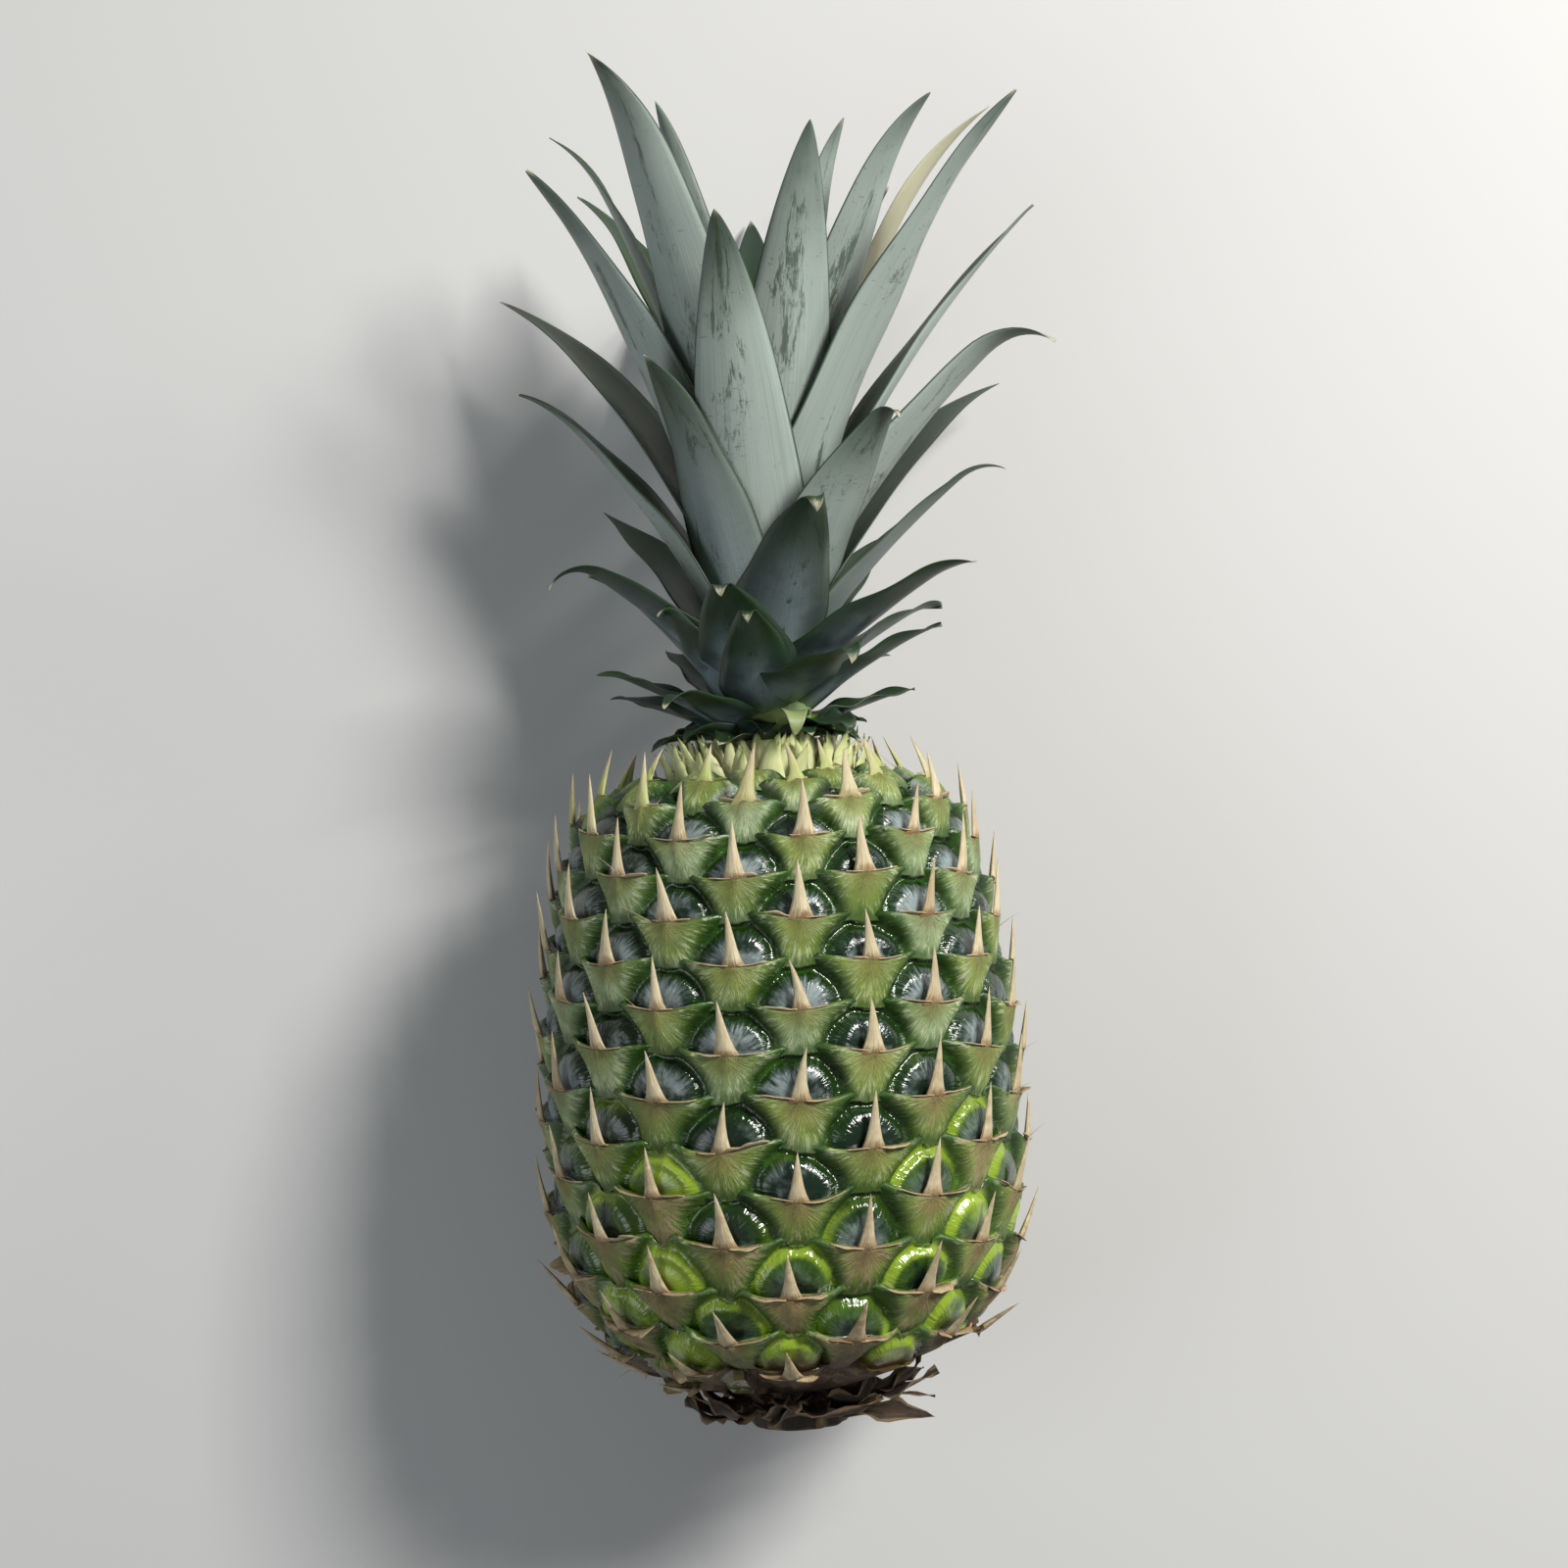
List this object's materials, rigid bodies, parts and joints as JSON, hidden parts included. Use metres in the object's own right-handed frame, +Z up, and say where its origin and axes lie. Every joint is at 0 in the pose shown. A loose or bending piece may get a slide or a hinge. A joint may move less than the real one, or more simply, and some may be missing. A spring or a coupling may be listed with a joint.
{
  "type": "pineapple",
  "caption": "Whole ripe pineapple with its spined rind, pale neck bracts, leafy crown and cut stalk, lying on its side.",
  "frame": {"origin": "centre of the underside of the box round the whole pineapple, on the surface it lies on", "axes": "+Y along the fruit's axis from the cut stalk to the crown, +Z up from the surface, +X to the right seen from above with the crown away"},
  "size_m": [0.1382, 0.337, 0.1211],
  "materials": {
    "rind": "satin",
    "neck_bract": "matte",
    "crown_leaf": "satin",
    "dried_bract": "matte"
  },
  "bodies": {
    "root": {"fruit": "rind", "neck_bracts": "neck_bract", "crown": "crown_leaf", "stalk": "dried_bract"}
  },
  "joints": []
}
